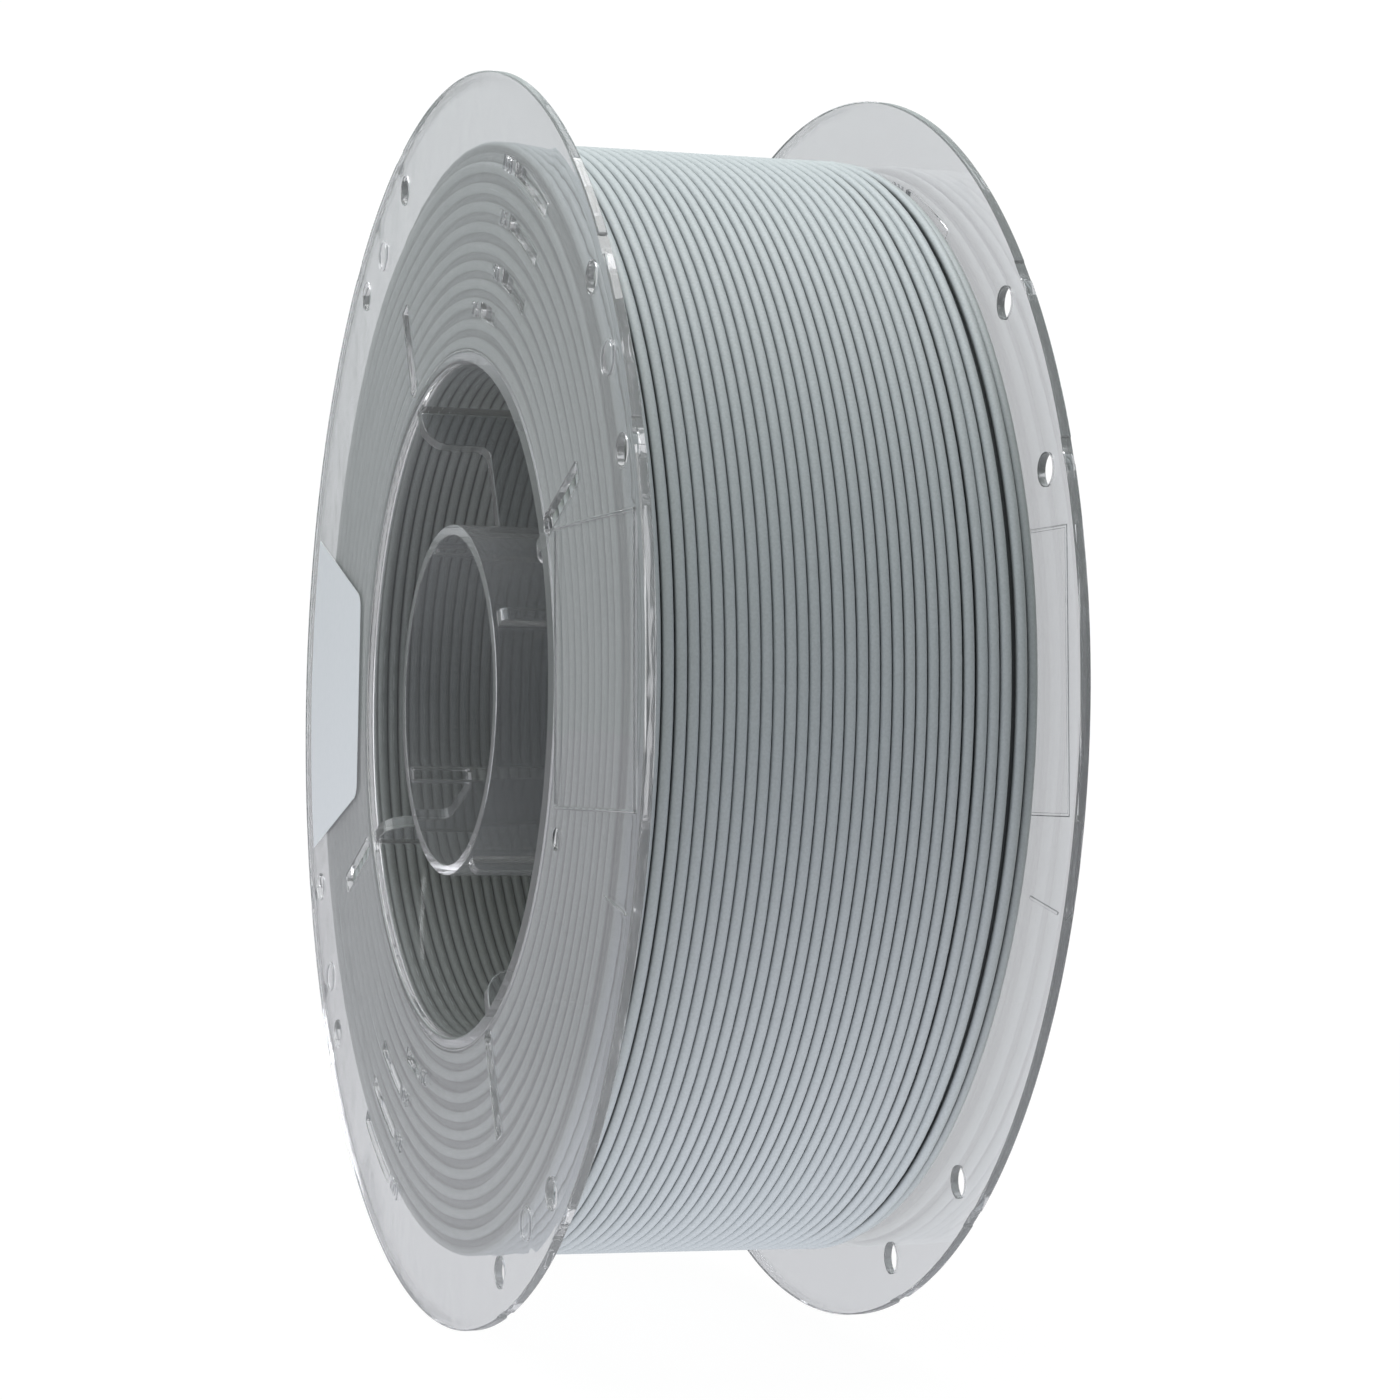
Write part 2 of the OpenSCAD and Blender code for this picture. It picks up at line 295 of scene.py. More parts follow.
def throughCut(outline, side, floor=None):
    # outline(grow) gives (radius, angle) points. The cut flares past both faces to break its edges, or
    # with a floor starts that far above the inner face.
    s, c, beyond = spool, openings["edgeBreak"], openings["beyond"]
    inner = [(s["innerDepth"] - beyond, c + beyond), (s["innerDepth"] + c, 0)]
    if floor is not None:
        inner = [(s["innerDepth"] + floor, 0)]
    layers = inner + [(s["faceDepth"] - c, 0), (s["faceDepth"] + beyond, c + beyond)]
    return lofted("cut", [[at(r, a, depth, side) for r, a in outline(grow)] for depth, grow in layers])


def clipHole(angle):
    return lambda grow: circleAt(openings["clipRadius"], angle, openings["clipDiameter"] / 2 + grow, 40)


def roundedBox(x0, x1, half, grow, r):
    # the outline of a box along the radius
    x0, x1, half, r = x0 - grow, x1 + grow, half + grow, r + grow
    return (arcPoints(x1 - r, half - r, r, 0, 90, 3) + arcPoints(x0 + r, half - r, r, 90, 180, 3)
            + arcPoints(x0 + r, -half + r, r, 180, 270, 3) + arcPoints(x1 - r, -half + r, r, 270, 360, 3))


def slot(angle):
    o = openings
    return lambda grow: [polar(x, z, angle) for x, z in roundedBox(
        o["slotStart"], o["slotStart"] + o["slotLength"], o["slotWidth"] / 2, grow, o["slotRound"])]


def gaugeWindow(radius, start, end):
    # a box bent along its radius, with its long edges cut into steps of 1.2 mm so that they bend
    def outline(grow):
        half, length = openings["gaugeWidth"] / 2, radians(end - start) * radius
        box = roundedBox(-half, half, length / 2, grow, openings["gaugeRound"])
        dense = []
        for (x0, z0), (x1, z1) in zip(box, box[1:] + box[:1]):
            steps = max(1, round(abs(z1 - z0) / 1.2))
            dense += [(x0 + (x1 - x0) * k / steps, z0 + (z1 - z0) * k / steps) for k in range(steps)]
        return [(radius + x, (start + end) / 2 + z / radius * 180 / pi) for x, z in dense]
    return outline


def pits(side):
    # shallow round pits of the mould, with broken edges
    o, parts, top, beyond = openings, [], spool["faceDepth"], 0.5
    layers = ((top - o["pitDepth"], 0), (top - o["pitEdge"], 0), (top + beyond, beyond + o["pitEdge"]))
    for radius, angle, r in o["pits"]:
        parts.append(lofted("pit", [[at(*place, h, side) for place in circleAt(radius, angle, r + grow, 32)]
                                    for h, grow in layers]))
    return joined("pits", parts)


def notch(angle, side):
    # a shallow notch across the rim at a clip hole
    x0, half = spool["flangeRadius"] - openings["notchDepth"], openings["notchWidth"] / 2
    corners = [polar(x, z, angle) for x, z in ((x0, -half), (x0 + 2, -half), (x0 + 2, half), (x0, half))]
    depths = (openings["notchFrom"], spool["halfWidth"] + openings["beyond"])
    return lofted("notch", [[at(*corner, h, side) for corner in corners] for h in depths])


def cutters(side):
    o, parts = openings, []
    for quarter in range(4):
        parts.append(throughCut(slot(webs["turn"] + 90 * quarter), side))
        for way in (-0.5, 0.5):
            angle = o["clipTurn"] + 90 * quarter + way * o["clipSpread"]
            parts.append(throughCut(clipHole(angle), side))
            parts.append(notch(angle, side))
    for halfTurn in (0, 180):
        for r, a, b in zip(o["gaugeRadius"], o["gaugeFrom"], o["gaugeTo"]):
            parts.append(throughCut(gaugeWindow(r, a + halfTurn, b + halfTurn), side, o["gaugeFloor"]))
    return joined("cutters", parts)


# Raised marks of the mould on the outer face. panel and flowLine are (radius, angle) points, and the rings
# that the ejector pins left on the near half are (radius, angle, own radius).
marks = {
    "height": 0.28, "sink": 0.1, "lineWidth": 0.5, "lineRound": 0.06, "ringWidth": 0.44,
    "numbers": ("100", "75", "50", "25"), "numberSize": 3.5, "numberEnd": (69.9, 69.9, 70.2, 78.8),
    "numberRadius": (85.9, 77.6, 68.9, 61.6),
    "panel": ((61.9, 24.6), (96.6, 16.3), (96.7, -8.3), (61.2, -14.1)),
    "flowLine": ((87.5, -17.5), (97.0, -16.8)),
    "pins": ((93.4, 31.5, 2.5), (90.8, 122.4, 2.5), (91.8, 213.8, 2.5), (91.2, 302.5, 2.5)),
}


def raisedPath(points, side):
    # a low bar through (radius, angle) points, mitred at its corners
    places = [at(*p, 0, side) for p in points]
    base, top = spool["faceDepth"] - marks["sink"], spool["faceDepth"] + marks["height"]
    edge = top - marks["lineRound"]
    section = ((-1, base), (-1, edge), (-0.5, top), (0.5, top), (1, edge), (1, base))
    loops = []
    for i, place in enumerate(places):
        first = max(0, i - 1)
        ways = [(b - a).normalized() for a, b in zip(places[first:i + 1], places[first + 1:i + 2])]
        normals = [Vector((-w.z, 0, w.x)) for w in ways]
        mitre = sum(normals, Vector()).normalized()
        mitre *= marks["lineWidth"] / 2 * mm / mitre.dot(normals[0])
        loops.append([place + mitre * k + Vector((0, -side * h * mm, 0)) for k, h in section])
    return lofted("line", loops)


def raisedRing(radius, angle, r, side):
    # a thin raised circle
    base, top = spool["faceDepth"] - marks["sink"], spool["faceDepth"] + marks["height"]
    half, count = marks["ringWidth"] / 2, 36
    circles = [(circleAt(radius, angle, rr, count), h) for rr, h in (
        (r - half, base), (r + half, base), (r + half, top), (r - half, top))]
    return ringed("ring", [[at(*circle[i], h, side) for circle, h in circles] for i in range(count)])


def raisedNumber(text, radius, endAngle, side):
    # plain figures bent along their radius, read from outside, ending just before their window
    curve = bpy.data.curves.new("number", "FONT")
    curve.body, curve.size, curve.align_x = text, marks["numberSize"], "LEFT"
    curve.extrude = (marks["height"] + marks["sink"]) / 2
    curve.resolution_u = 3
    obj = finalMesh(placed("number", curve), "number")
    width = max(v.co.x for v in obj.data.vertices)
    for v in obj.data.vertices:
        turn = (width - v.co.x) / radius * 180 / pi
        angle = endAngle + turn if side > 0 else endAngle + width / radius * 180 / pi - turn
        depth = spool["faceDepth"] + v.co.z + (marks["height"] - marks["sink"]) / 2
        v.co = at(radius + v.co.y, angle, depth, side)
    return closeUp(obj)


def raisedMarks(side):
    m, parts = marks, []
    for halfTurn in (0, 180):
        for text, radius, angle in zip(m["numbers"], m["numberRadius"], m["numberEnd"]):
            parts.append(raisedNumber(text, radius, angle + halfTurn, side))
    parts.append(raisedPath(m["panel"], side))
    parts.append(raisedPath(m["flowLine"], side))
    # the panel's inner side, drawn in by half a degree because lines that cross upset the Boolean
    (r0, a0), (r1, a1) = m["panel"][0], m["panel"][-1]
    parts.append(raisedPath(((r0, a0 - 0.5), (r1, a1 + 0.5)), side))
    if side > 0:
        parts += [raisedRing(*pin, side) for pin in m["pins"]]
    return joined("marks", parts)


def clearHalf(name, side):
    base = turned("half", flangeProfile(side), side, spool["segments"])
    steps = [("UNION", joined("webs", [web(quarter, side) for quarter in range(4)])),
             ("UNION", sleeve(side)), ("UNION", webFeet(side)),
             ("DIFFERENCE", cutters(side)), ("DIFFERENCE", pits(side)), ("UNION", raisedMarks(side))]
    obj = shadeByAngle(closeUp(combined(name, base, steps)), 32)
    print(name, len(obj.data.polygons), "faces, open edges", openEdges(obj))
    return obj


nearHalf = clearHalf("nearHalf", 1)
farHalf = clearHalf("farHalf", -1)

# The wound strand. looseTurns is extra room before a turn of the outer layer, by its place along the axis,
# and less than none crowds it against the turn before. swell is the layer's height above outerRadius along
# the axis, and topHeavy is how much farther out its top lies than its middle. bodyInset is how far the
# plain body under the turns stays inside them: outside, at the drum and at the ends. strands gives each
# strand's sides and its wobble: how far, over what length, and its seed.
filament = {
    "diameter": 1.75, "outerRadius": 88.9, "pitch": 1.79, "layerStep": 1.53, "endGap": 0.12,
    "looseTurns": {-25.6: 0.2, -23.8: 0.06, 18.6: 0.23, 20.6: 0.23, 23.0: -0.22, 24.2: 0.38, 26.6: 0.85},
    "swell": ((-31.0, 0.0), (0.0, 0.35), (20.0, 0.6), (27.5, 0.75), (29.5, -0.5), (31.0, -0.7)),
    "topHeavy": 0.35, "tailRun": 45.0, "tailBend": 4.5,
    "deeperRings": 0.8, "ringWander": (0.05, 0.2), "ringWaver": 0.06, "bodyInset": (1.3, 1.2, 1.6),
    "strands": {"windingOuter": (10, 0.2, 40.0, 3.0), "windingEnds": (10, 0.5, 50.0, 7.0),
                "windingInner": (8, 0.2, 40.0, 9.0)},
}


def lastTurn():
    # the place along the axis of a turn that lies against a flange
    return spool["innerDepth"] - filament["diameter"] / 2 - filament["endGap"]


def layerTurns():
    # the place along the axis of each turn's start, from the near flange to the far one
    reach = lastTurn()
    places, y, waiting = [-reach], -reach, dict(filament["looseTurns"])
    while True:
        step = filament["pitch"]
        for place in [p for p in waiting if y + step > p]:
            step += waiting.pop(place)
        if y + step > reach:
            break
        y += step
        places.append(y)
    return places


def swellAt(y):
    swell = filament["swell"]
    for (y0, v0), (y1, v1) in zip(swell, swell[1:]):
        if y <= y1:
            return v0 + (v1 - v0) * (y - y0) / (y1 - y0)
    return swell[-1][1]


def eased(t):
    return t * t * (3 - 2 * t)


def outerPath():
    f, turns, clipRadius = filament, layerTurns(), openings["clipRadius"]
    radius = f["outerRadius"] - f["diameter"] / 2
    holeAngle = openings["clipTurn"] + 180 + openings["clipSpread"] / 2
    bend = f["tailBend"] / clipRadius * 180 / pi
    last = holeAngle - bend - f["tailRun"]
    start = last - 360 * (len(turns) - 1)
    points, pointsPerTurn = [], 120
    for i in range((len(turns) - 1) * pointsPerTurn + 1):
        turn, part = divmod(i / pointsPerTurn, 1)
        turn = int(turn)
        y = turns[turn] if turn + 1 >= len(turns) else turns[turn] + (turns[turn + 1] - turns[turn]) * part
        angle = start + 360 * i / pointsPerTurn
        points.append(at(radius + swellAt(y) + f["topHeavy"] * sin(radians(angle)), angle, -y))
    # the end leaves the layer, crosses to the far flange and turns into its clip hole
    radius = hypot(points[-1].x, points[-1].z) / mm
    yEnd = spool["innerDepth"] - f["tailBend"] - f["diameter"]
    runSteps, bendSteps = 24, 8
    for i in range(1, runSteps + 1):
        t = i / runSteps
        outwards, sideways = eased(t), eased(max(0.0, (t - 0.35) / 0.65))
        points.append(at(radius + (clipRadius - radius) * outwards, last + f["tailRun"] * t,
                         -(turns[-1] + (yEnd - turns[-1]) * sideways)))
    for i in range(1, bendSteps + 1):
        a = pi / 2 * i / bendSteps
        points.append(at(clipRadius, holeAngle - bend * (1 - sin(a)),
                         -(yEnd + f["tailBend"] * (1 - cos(a)))))
    points.append(at(clipRadius, holeAngle, -(spool["faceDepth"] - 0.1)))
    return points


def endRings():
    # the end turns of each layer at both flanges; every other layer lies a little deeper
    f, paths, count = filament, [], 120
    radius, k = f["outerRadius"] - f["diameter"] / 2 - f["layerStep"], 1
    rng = random.Random(5)
    while radius > spool["drumOut"] + f["diameter"] / 2:
        for side in (1, -1):
            depth = lastTurn() - (k % 2) * f["deeperRings"]
            phase, amount = rng.uniform(0, tau), rng.uniform(*f["ringWander"])
            ring = []
            for i in range(count):
                turn = tau * i / count
                ring.append(at(radius + amount * sin(turn * 2 + phase), 360 / count * i,
                               depth + f["ringWaver"] * sin(turn * 3 + phase), side))
            paths.append((ring, True))
        radius -= f["layerStep"]
        k += 1
    return paths


def innerPath():
    # the first layer on the drum, seen through its wall from inside the hub
    reach, count = lastTurn(), 72
    radius = spool["drumOut"] + filament["diameter"] / 2 + 0.05
    total = int(2 * reach / filament["pitch"]) * count
    return [at(radius, 360 * i / count, -(-reach + 2 * reach * i / total)) for i in range(total + 1)]


def strandTree():
    # sweeps the filament's round section along its path, with a slow wobble that neighbours share
    tree = bpy.data.node_groups.new("filamentStrand", "GeometryNodeTree")
    face = tree.interface
    face.new_socket("Geometry", in_out="OUTPUT", socket_type="NodeSocketGeometry")
    face.new_socket("Path", in_out="INPUT", socket_type="NodeSocketGeometry")
    for name, kind, value in (
            ("Diameter", "NodeSocketFloat", filament["diameter"] * mm), ("Sides", "NodeSocketInt", 10),
            ("Wobble", "NodeSocketFloat", 0.0), ("Wobble length", "NodeSocketFloat", 0.03),
            ("Seed", "NodeSocketFloat", 1.0), ("Finish", "NodeSocketMaterial", None)):
        socket = face.new_socket(name, in_out="INPUT", socket_type=kind)
        if value is not None:
            socket.default_value = value
    given = addNode(tree, "NodeGroupInput").outputs
    position = addNode(tree, "GeometryNodeInputPosition")
    scale = addNode(tree, "ShaderNodeMath", {0: 1.0, 1: given["Wobble length"]}, operation="DIVIDE")
    noise = addNode(tree, "ShaderNodeTexNoise", {
        "Vector": position.outputs[0], "W": given["Seed"], "Scale": scale.outputs[0], "Detail": 1.0},
        noise_dimensions="4D")
    centred = addNode(tree, "ShaderNodeVectorMath", {
        0: noise.outputs["Color"], 1: (0.5, 0.5, 0.5)}, operation="SUBTRACT")
    offset = addNode(tree, "ShaderNodeVectorMath", {
        0: centred.outputs[0], "Scale": given["Wobble"]}, operation="SCALE")
    moved = addNode(tree, "GeometryNodeSetPosition", {
        "Geometry": given["Path"], "Offset": offset.outputs[0]})
    radius = addNode(tree, "ShaderNodeMath", {0: given["Diameter"], 1: 0.5}, operation="MULTIPLY")
    circle = addNode(tree, "GeometryNodeCurvePrimitiveCircle", {
        "Resolution": given["Sides"], "Radius": radius.outputs[0]})
    swept = addNode(tree, "GeometryNodeCurveToMesh", {
        "Curve": moved.outputs[0], "Profile Curve": circle.outputs[0], "Fill Caps": True})
    smooth = addNode(tree, "GeometryNodeSetShadeSmooth", {"Geometry": swept.outputs[0]})
    real = addNode(tree, "GeometryNodeRealizeInstances", {"Geometry": smooth.outputs[0]})
    finish = addNode(tree, "GeometryNodeSetMaterial", {
        "Geometry": real.outputs[0], "Material": given["Finish"]})
    addNode(tree, "NodeGroupOutput", {"Geometry": finish.outputs[0]})
    return tree


def pathCurve(name, paths):
    curve = bpy.data.curves.new(name, "CURVE")
    curve.dimensions = "3D"
    for points, closed in paths:
        spline = curve.splines.new("POLY")
        spline.points.add(len(points) - 1)
        for target, point in zip(spline.points, points):
            target.co = (*point, 1)
        spline.use_cyclic_u = closed
    return placed(name, curve)


def sweptStrand(name, paths):
    sides, wobble, wobbleLength, seed = filament["strands"][name]
    values = {"Diameter": filament["diameter"] * mm, "Sides": sides, "Wobble": wobble * mm,
              "Wobble length": wobbleLength * mm, "Seed": seed, "Finish": plaFinish}
    obj = pathCurve(name + "Path", paths)
    modifier = obj.modifiers.new("strand", "NODES")
    modifier.node_group = strand
    for socket in strand.interface.items_tree:
        if socket.in_out == "INPUT" and socket.name in values:
            modifier[socket.identifier] = values[socket.name]
    result = finalMesh(obj, name)
    bm = bmesh.new()
    bm.from_mesh(result.data)
    bmesh.ops.recalc_face_normals(bm, faces=bm.faces)
    bm.to_mesh(result.data)
    bm.free()
    print(name, len(result.data.polygons), "faces")
    return result


# rippleScale is waves per metre, so each is about 11 mm long
clear = {
    "tint": "#D9DADD", "clearness": 0.9, "ior": 1.58, "roughness": 0.015, "lampTint": "#E4E4E0",
    "ripple": 0.05, "rippleScale": 90.0, "rippleDepth": 0.8,
}


def clearPolystyrene():
    # Clear injection-moulded polystyrene: sharp reflections over a slight haze that greys what lies
    # behind it, and a slow ripple of the mould in the highlights. Lamps shine through it.
    material, tree = newMaterial("clearMouldedPolystyrene")
    place = addNode(tree, "ShaderNodeTexCoord")
    ripple = addNode(tree, "ShaderNodeTexNoise", {
        "Vector": place.outputs["Object"], "Scale": clear["rippleScale"], "Detail": 2.0})
    bump = addNode(tree, "ShaderNodeBump", {
        "Height": ripple.outputs[0], "Strength": clear["ripple"], "Distance": clear["rippleDepth"] * mm})
    body = addNode(tree, "ShaderNodeBsdfPrincipled", {
        "Base Color": linear(clear["tint"]), "Roughness": clear["roughness"], "IOR": clear["ior"],
        "Transmission Weight": clear["clearness"], "Normal": bump.outputs[0]})
    passing = addNode(tree, "ShaderNodeBsdfTransparent", {"Color": linear(clear["lampTint"])})
    path = addNode(tree, "ShaderNodeLightPath")
    lamp = addNode(tree, "ShaderNodeMath", {
        0: path.outputs["Is Shadow Ray"], 1: path.outputs["Is Diffuse Ray"]}, operation="MAXIMUM")
    mixed = addNode(tree, "ShaderNodeMixShader", {
        0: lamp.outputs[0], 1: body.outputs[0], 2: passing.outputs[0]})
    addNode(tree, "ShaderNodeOutputMaterial", {"Surface": mixed.outputs[0]})
    return material


# The specks come at speckleScale per metre, 0.4 mm apart, which is coarser than the real filler so that they
# show. The grooves get painted shade: the colour darkens between a start and an end depth below the
# winding's face, down to its darkest tone, and lastDrop is how far the outer layer falls away at the far
# flange.
pla = {
    "dark": "#B0B6B8", "light": "#C9CFD2", "speckleScale": 2600.0, "speckleDepth": 0.1,
    "roughness": 0.5, "ior": 1.46, "paintedShadeFrom": 0.35, "paintedShadeTo": 0.9, "paintedShadeDarkest": 0.34,
    "lastDrop": 1.2,
}


def mattePla():
    # Matte grey PLA filament: almost no shine, a fine speckle of the filler, and painted shade in the
    # grooves between the turns, found from the depth below the nearest face of the winding.
    f, swell = filament, filament["swell"]
    material, tree = newMaterial("mattePlaFilament")
    place = addNode(tree, "ShaderNodeTexCoord").outputs["Object"]
    xyz = addNode(tree, "ShaderNodeSeparateXYZ", {0: place})
    across = addNode(tree, "ShaderNodeVectorMath", {0: place, 1: (1, 0, 1)}, operation="MULTIPLY")
    length = addNode(tree, "ShaderNodeVectorMath", {0: across.outputs[0]}, operation="LENGTH")
    radius = length.outputs["Value"]
    along = addNode(tree, "ShaderNodeMath", {0: xyz.outputs[1]}, operation="ABSOLUTE")
    # the outer layer's own height at this place
    outer = f["outerRadius"] * mm
    rise = addNode(tree, "ShaderNodeMapRange", {
        "Value": xyz.outputs[1], "From Min": swell[0][0] * mm, "From Max": swell[2][0] * mm,
        "To Min": outer, "To Max": outer + swell[2][1] * mm})
    drop = addNode(tree, "ShaderNodeMapRange", {
        "Value": xyz.outputs[1], "From Min": swell[3][0] * mm, "From Max": swell[4][0] * mm,
        "To Min": 0.0, "To Max": -pla["lastDrop"] * mm})
    slope = addNode(tree, "ShaderNodeMath", {0: xyz.outputs[2], 1: radius}, operation="DIVIDE")
    tilt = addNode(tree, "ShaderNodeMath", {
        0: slope.outputs[0], 1: f["topHeavy"] * mm, 2: rise.outputs[0]}, operation="MULTIPLY_ADD")
    surface = addNode(tree, "ShaderNodeMath", {0: tilt.outputs[0], 1: drop.outputs[0]}, operation="ADD")
    # the least depth below the layer's face, the end face and the drum's face
    depth = None
    for high, low in ((surface.outputs[0], radius),
                      ((spool["innerDepth"] - f["endGap"]) * mm, along.outputs[0]),
                      (radius, (spool["drumOut"] + 0.05) * mm)):
        below = addNode(tree, "ShaderNodeMath", {0: high, 1: low}, operation="SUBTRACT")
        if depth is not None:
            below = addNode(tree, "ShaderNodeMath", {
                0: depth.outputs[0], 1: below.outputs[0]}, operation="MINIMUM")
        depth = below
    # painted shade: deeper places between the turns and the end rings get a darker colour, as if in shadow
    paintedGrooveShade = addNode(tree, "ShaderNodeMapRange", {
        "Value": depth.outputs[0], "From Min": pla["paintedShadeFrom"] * mm, "From Max": pla["paintedShadeTo"] * mm,
        "To Min": 1.0, "To Max": pla["paintedShadeDarkest"]}, interpolation_type="SMOOTHSTEP")
    speckle = addNode(tree, "ShaderNodeTexNoise", {
        "Vector": place, "Scale": pla["speckleScale"], "Detail": 2.0})
    tone = addNode(tree, "ShaderNodeMix", {
        0: speckle.outputs[0], 6: linear(pla["dark"]), 7: linear(pla["light"])}, data_type="RGBA")
    toneWithPaintedShade = addNode(tree, "ShaderNodeVectorMath", {
        0: tone.outputs[2], "Scale": paintedGrooveShade.outputs[0]}, operation="SCALE")
    bump = addNode(tree, "ShaderNodeBump", {
        "Height": speckle.outputs[0], "Strength": 0.15, "Distance": pla["speckleDepth"] * mm})
    body = addNode(tree, "ShaderNodeBsdfPrincipled", {
        "Base Color": toneWithPaintedShade.outputs[0], "Roughness": pla["roughness"], "IOR": pla["ior"],
        "Normal": bump.outputs[0]})
    addNode(tree, "ShaderNodeOutputMaterial", {"Surface": body.outputs[0]})
    return material


# The label is straight at its inner edge, and its sides flare out to an arc. half is half the width of the
# inner edge, lift keeps the label just off the flange's face, and fibreScale is clouds per metre, each of
# about 1.4 mm.
label = {
    "inner": 60.0, "half": 17.5, "flare": 19.0, "outer": 96.0, "corner": 3.0, "thickness": 0.07,
    "lift": 0.005, "light": "#E9ECF0", "dark": "#E1E5E9", "fibreScale": 700.0, "fibreDepth": 0.02,
    "roughness": 0.35, "ior": 1.5,
}


def coatedPaper():
    # Coated label paper: white with a slight blue, a soft sheen, and the faint cloud of its fibres, which
    # is drawn coarser than real so that it shows.
    material, tree = newMaterial("coatedLabelPaper")
    place = addNode(tree, "ShaderNodeTexCoord")
    fibre = addNode(tree, "ShaderNodeTexNoise", {
        "Vector": place.outputs["Object"], "Scale": label["fibreScale"], "Detail": 3.0})
    tone = addNode(tree, "ShaderNodeMix", {
        0: fibre.outputs[0], 6: linear(label["dark"]), 7: linear(label["light"])}, data_type="RGBA")
    bump = addNode(tree, "ShaderNodeBump", {
        "Height": fibre.outputs[0], "Strength": 0.1, "Distance": label["fibreDepth"] * mm})
    body = addNode(tree, "ShaderNodeBsdfPrincipled", {
        "Base Color": tone.outputs[2], "Roughness": label["roughness"], "IOR": label["ior"],
        "Normal": bump.outputs[0]})
    addNode(tree, "ShaderNodeOutputMaterial", {"Surface": body.outputs[0]})
    return material


clearFinish, plaFinish, labelFinish = clearPolystyrene(), mattePla(), coatedPaper()
print("finishes made")

strand = strandTree()
windingOuter = sweptStrand("windingOuter", [(outerPath(), False)])
windingEnds = sweptStrand("windingEnds", endRings())
windingInner = sweptStrand("windingInner", [(innerPath(), False)])


def plainWinding():
    # what lies behind the shown strands, so that no light gets between them
    outside, atDrum, atEnds = filament["bodyInset"]
    out, inner = filament["outerRadius"] - outside, spool["drumOut"] + atDrum
    end = spool["innerDepth"] - atEnds
    obj = turned("windingBody", [(inner, -end), (out, -end), (out, end), (inner, end)], 1, 180)
    obj.data.materials.append(plaFinish)
    print("windingBody", len(obj.data.polygons), "faces")
    return shadeByAngle(obj, 40)


def labelOutline():
    d, flare = label, radians(label["flare"])
    x = -d["inner"] - d["corner"]
    z = d["half"] - d["corner"] * tan(radians(45 - d["flare"] / 2))
    inner = (arcPoints(x, -z, d["corner"], -90 + d["flare"], 0, 6)
             + arcPoints(x, z, d["corner"], 0, 90 - d["flare"], 6))
    # where a flared side meets the outer arc, by halving
    slope, start = Vector((-cos(flare), sin(flare))), Vector((-d["inner"], d["half"]))
    low, high = 0.0, 60.0
    for _ in range(40):
        t = (low + high) / 2
        low, high = (t, high) if (start + slope * t).length < d["outer"] else (low, t)
    corner = start + slope * low
    edge = 180 - degrees(atan2(corner.y, -corner.x))
    return inner + arcPoints(0, 0, d["outer"], edge, 360 - edge, 24)


def blankLabel():
    outline, base = labelOutline(), spool["faceDepth"] + label["lift"]
    obj = lofted("dataLabel", [[Vector((x, -(base + h), z)) * mm for x, z in outline]
                               for h in (0, label["thickness"])])
    obj.data.materials.append(labelFinish)
    print("dataLabel", len(obj.data.polygons), "faces")
    return obj


windingBody = plainWinding()
dataLabel = blankLabel()
for half in (nearHalf, farHalf):
    half.data.materials.clear()
    half.data.materials.append(clearFinish)

nearNodes = ["near_flange", "near_drum", "near_sleeve"] + [f"near_web_{i}" for i in range(1, 5)]
farNodes = [n.replace("near", "far") for n in nearNodes]
for piece, slotName, nodes in (
        (nearHalf, "clear_plastic", nearNodes), (farHalf, "clear_plastic", farNodes),
        (windingOuter, "filament", ["filament_outer_layer"]), (windingBody, "filament", ["filament_core"]),
        (windingEnds, "filament", []), (windingInner, "filament", []),
        (dataLabel, "label_paper", ["data_label"])):
    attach(piece, "root")
    if nodes:
        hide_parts(*nodes)
print("pieces ride on the frame")

# The studio, in metres: a glowing table, a room that is brighter above, and two lamps, each with its
# place, size and watts. mirrored is how bright table and room look in the plastic's reflections.
studio = {
    "floorDepth": 0.1, "floorReach": 6.0, "floor": "#F4F4F4",
    "floorShadow": 0.06, "shadowFade": (0.25, 0.6),
    "tableGlow": 1.35, "glowAround": 0.15, "glowFade": (0.144, 0.432),
    "tableColour": (0.97, 0.98, 1.03, 1.0), "roomColour": (0.9, 1.0, 0.99, 1.0), "white": 1.03,
    "horizon": 0.1, "zenith": 0.45, "mirrored": 0.3, "mirroredNear": 0.45, "mirrorFade": (0.15, 0.5),
    "overhead": ((0.0, -0.05, 0.95), 0.9, 8.2), "side": ((0.05, -1.0, 0.15), 0.9, 3.9),
}


def seenBy(tree, *rays):
    # 1 for the kinds of ray named, 0 for the rest
    path = addNode(tree, "ShaderNodeLightPath")
    total = path.outputs[rays[0]]
    for ray in rays[1:]:
        more = addNode(tree, "ShaderNodeMath", {0: total, 1: path.outputs[ray]}, operation="MAXIMUM")
        total = more.outputs[0]
    return total


def studioLight(tree, level, mirrored, tint):
    # colour and strength of a light that is plain white where it is looked at
    shine = addNode(tree, "ShaderNodeMix", {
        0: seenBy(tree, "Is Glossy Ray"), 2: level.outputs[0], 3: mirrored.outputs[0]})
    white = seenBy(tree, "Is Camera Ray", "Is Transmission Ray")
    strength = addNode(tree, "ShaderNodeMix", {0: white, 2: shine.outputs[0], 3: studio["white"]})
    tone = addNode(tree, "ShaderNodeMix", {0: white, 6: tint, 7: (1, 1, 1, 1)}, data_type="RGBA")
    return {"Color": tone.outputs[2], "Strength": strength.outputs[0]}


